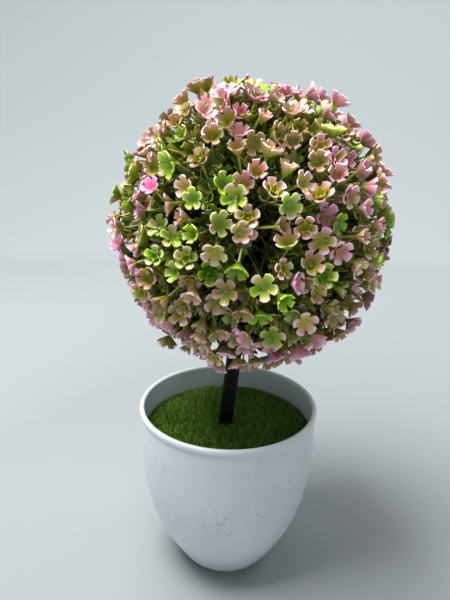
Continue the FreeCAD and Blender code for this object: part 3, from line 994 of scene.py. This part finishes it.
def turf_plastic():
    """Slit polyethylene: smooth, a little shiny, dark at the root and yellower at the tip."""
    material, tree, shader, place = new_material("slit_polyethylene_turf", roughness=0.34)
    tint = add_node(tree, "ShaderNodeAttribute", attribute_name="tint")
    height = add_node(tree, "ShaderNodeAttribute", attribute_name="height")
    blade = ramp(tree, height.outputs["Fac"], [(0.0, "#1a300a"), (0.45, "#5a941e"), (1.0, "#c4ee62")])
    own = ramp(tree, tint.outputs["Fac"], [(0.0, 0.14), (0.55, 0.46), (0.85, 0.9), (1.0, 1.0)])
    shade = mixed(tree, None, blade, own, blend="MULTIPLY")
    patch = add_node(tree, "ShaderNodeTexNoise", {"Vector": place}, {"Scale": 1 / (TURF_PATCH_MM * MM), "Detail": 3})
    worn = add_node(tree, "ShaderNodeMapRange", {"Value": patch.outputs["Fac"]}, {"To Min": 0.75, "To Max": 1.25})
    shade = mixed(tree, None, shade, worn.outputs["Result"], blend="MULTIPLY")
    tree.links.new(shade, shader.inputs["Base Color"])
    return material


wear(turf_blades, turf_plastic())
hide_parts("turf_pile")
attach(turf_blades, "root")
print("turf dressed")

# %% [markdown]
# ## The stem
# A black tube, coated with a matt rubbery paint that is a little lumpy. It is raised ring by ring, its surface is
# pushed in and out by a Displace modifier that reads a cloud texture, and it is then tipped to the lean that the
# frame gives.

# %% Model the stem
STEM_CORNERS = 28
STEM_RINGS = 90
PAINT_ROOM = 0.1 * MM
LUMP_MM = 2.6
LUMP_RELIEF = 0.5 * MM
STEM_EDGE_DEG = 50

stem_length = (stem_high - stem_low).length
stem_rings = [(STEM_RADIUS - PAINT_ROOM, stem_length * i / STEM_RINGS) for i in range(STEM_RINGS + 1)]
stem_rod = raise_rings("stem_rod", stem_rings, STEM_CORNERS)
close_ends()
clouds = bpy.data.textures.new("lumps", "CLOUDS")
clouds.noise_scale = LUMP_MM * MM
lumps = stem_rod.modifiers.new("lumps", "DISPLACE")
lumps.texture = clouds
lumps.texture_coords = "LOCAL"
lumps.strength = LUMP_RELIEF
lumps.mid_level = 0.5
bpy.ops.object.modifier_apply(modifier="lumps")
lean_turn = UP.rotation_difference(stem_high - stem_low).to_matrix().to_4x4()
stem_rod.data.transform(Matrix.Translation(stem_low) @ lean_turn)
bpy.ops.object.shade_smooth_by_angle(angle=math.radians(STEM_EDGE_DEG))
print("stem:", round(stem_length / MM, 1), "mm long")

# %% [markdown]
# The paint is nearly black and scatters light widely. A fine grain dulls it further, and dust lightens it a touch.

# %% Matt black paint
PAINT_GRAIN_MM = 0.8


def stem_paint():
    """Nearly black matt paint with a fine grain."""
    material, tree, shader, place = new_material("matt_black_paint", roughness=0.62)
    grain = add_node(tree, "ShaderNodeTexNoise", {"Vector": place}, {"Scale": 1 / (PAINT_GRAIN_MM * MM), "Detail": 4})
    shade = ramp(tree, grain.outputs["Fac"], [(0.35, "#030404"), (0.62, "#070808"), (0.8, "#101112")])
    tree.links.new(shade, shader.inputs["Base Color"])
    shader.inputs["Specular IOR Level"].default_value = 0.25
    bump = add_node(tree, "ShaderNodeBump", {"Height": grain.outputs["Fac"]}, {"Strength": 0.5, "Distance": 0.2 * MM})
    tree.links.new(bump.outputs["Normal"], shader.inputs["Normal"])
    return material


wear(stem_rod, stem_paint())
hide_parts("stem")
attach(stem_rod, "root")
print("stem dressed")

# %% [markdown]
# ## What is hidden
# The core ball, the foam, the plaster and the turf's cloth stay as the frame has them, and each gets its real
# finish, because a part that is taken apart shows them: black glossy polystyrene, green foam with open cells,
# chalky plaster with air holes, and a woven backing.

# %% Core, foam, plaster and cloth


def grained(name, roughness, stops, grain_mm, bump_mm, strength=0.4):
    """A plastic or mineral with one grain that sets its colour and its relief."""
    material, tree, shader, place = new_material(name, roughness)
    grain = add_node(tree, "ShaderNodeTexNoise", {"Vector": place}, {"Scale": 1 / (grain_mm * MM), "Detail": 3})
    tree.links.new(ramp(tree, grain.outputs["Fac"], stops), shader.inputs["Base Color"])
    bump = add_node(
        tree, "ShaderNodeBump", {"Height": grain.outputs["Fac"]}, {"Strength": strength, "Distance": bump_mm * MM}
    )
    tree.links.new(bump.outputs["Normal"], shader.inputs["Normal"])
    return material


# Each finish: name, roughness, colours by grain, grain size in mm, relief in mm
core_plastic = grained("glossy_black_polystyrene", 0.2, [(0.3, "#050605"), (0.7, "#0b0d0a")], 12, 0.02, 0.1)
foam = grained("green_floral_foam", 0.9, [(0.35, "#2f4a26"), (0.65, "#45663a")], 0.9, 0.4)
plaster = grained("cast_plaster", 0.85, [(0.3, "#b9b4a8"), (0.6, "#d6d2c8")], 2.5, 0.3)
cloth = grained("woven_turf_backing", 0.8, [(0.4, "#141a10"), (0.6, "#263019")], 0.7, 0.2)
for node_name, material in {
    "core_upper": core_plastic,
    "core_lower": core_plastic,
    "foam_plug": foam,
    "ballast": plaster,
    "turf_backing": cloth,
}.items():
    wear(nodes[node_name], material)
print("hidden pieces dressed")

# %% [markdown]
# ## The stage
# A round studio cove: a pale floor that curves up into a pale wall all the way round, wide enough for a camera on
# any side. It is raised from rings like the pot, and its faces point inwards. The floor has painted shade: it is a
# little darker under the tree and grows paler outwards, so the floor round the pot doesn't outshine it.

# %% Floor and wall
# Lengths in metres
COVE_RADIUS = 1.3
COVE_BEND = 0.4
COVE_HEIGHT = 1.0
COVE_CORNERS = 96
BEND_STEPS = 12
# Painted shade on the floor, in metres from the middle: darkest within the first, none beyond the second
PAINTED_SHADE_WITHIN, PALE_BEYOND = 0.2, 1.0

flat_radius = COVE_RADIUS - COVE_BEND
cove_rings = [(0.002, 0.0), (0.3, 0.0), (flat_radius, 0.0)]
for i in range(1, BEND_STEPS + 1):
    angle = math.pi / 2 * i / BEND_STEPS
    cove_rings.append((flat_radius + COVE_BEND * math.sin(angle), COVE_BEND * (1 - math.cos(angle))))
cove_rings.append((COVE_RADIUS, COVE_HEIGHT))
cove = raise_rings("cove", cove_rings, COVE_CORNERS)
bpy.ops.mesh.select_all(action="SELECT")
bpy.ops.mesh.normals_make_consistent(inside=True)
bpy.ops.object.mode_set(mode="OBJECT")
bpy.ops.object.shade_smooth()
cove_paint, cove_tree, cove_shader, cove_place = new_material("pale_matt_paint", roughness=0.85)
far = add_node(cove_tree, "ShaderNodeVectorMath", {0: cove_place}, operation="LENGTH")
pale = add_node(
    cove_tree,
    "ShaderNodeMapRange",
    {"Value": far.outputs["Value"]},
    {"From Min": PAINTED_SHADE_WITHIN, "From Max": PALE_BEYOND},
)
# Painted shade: the floor is darker under the tree, where the lamps' light is strongest
painted_floor_shade = ramp(cove_tree, pale.outputs["Result"], [(0.0, "#9a9fa1"), (1.0, "#dbe1e3")])
cove_tree.links.new(painted_floor_shade, cove_shader.inputs["Base Color"])
wear(cove, cove_paint)
cove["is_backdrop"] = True
print("cove:", COVE_RADIUS * 2, "m across")

# %% [markdown]
# ## The light
# One large soft lamp overhead, a little to the left, gives the highlights on the petal tips and the lit left side
# of the pot. A weak one behind on the right lifts the outline, a third is aimed at the wall behind the tree, and
# an even pale sky fills the shade.

# %% Lamps and sky
SKY_STRENGTH = 0.27
WALL_MIDDLE = Vector((0, COVE_RADIUS, 0.35))


def add_lamp(name, place, size, power, target):
    """A square area lamp at place that looks at target."""
    lamp_data = bpy.data.lights.new(name, "AREA")
    lamp_data.size = size
    lamp_data.energy = power
    lamp = bpy.data.objects.new(name, lamp_data)
    bpy.context.scene.collection.objects.link(lamp)
    toward = (target - Vector(place)).to_track_quat("-Z", "Y").to_matrix().to_4x4()
    lamp.matrix_world = Matrix.Translation(place) @ toward
    return lamp


# Each lamp: name, place and side in metres, watts, and what it looks at
lamps = [
    add_lamp("key", (-0.22, -0.06, 0.84), 0.4, 11.5, ball_centre),
    add_lamp("side", (0.6, 0.3, 0.75), 0.4, 1.2, ball_centre),
    add_lamp("wall", (0.0, 0.45, 1.25), 0.6, 3.6, WALL_MIDDLE),
]
sky = bpy.data.worlds.new("sky")
sky.use_nodes = True
background = sky.node_tree.nodes["Background"]
background.inputs["Color"].default_value = colour("#e9eef0")
background.inputs["Strength"].default_value = SKY_STRENGTH
bpy.context.scene.world = sky
bpy.context.scene.view_settings.view_transform = "Standard"
print("lamps:", [lamp.name for lamp in lamps])

# %% Sizes and finish
visual_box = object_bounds()
for low, high in (frame_box, visual_box):
    print("box in mm:", [round((b - a) / MM, 1) for a, b in zip(low, high)])
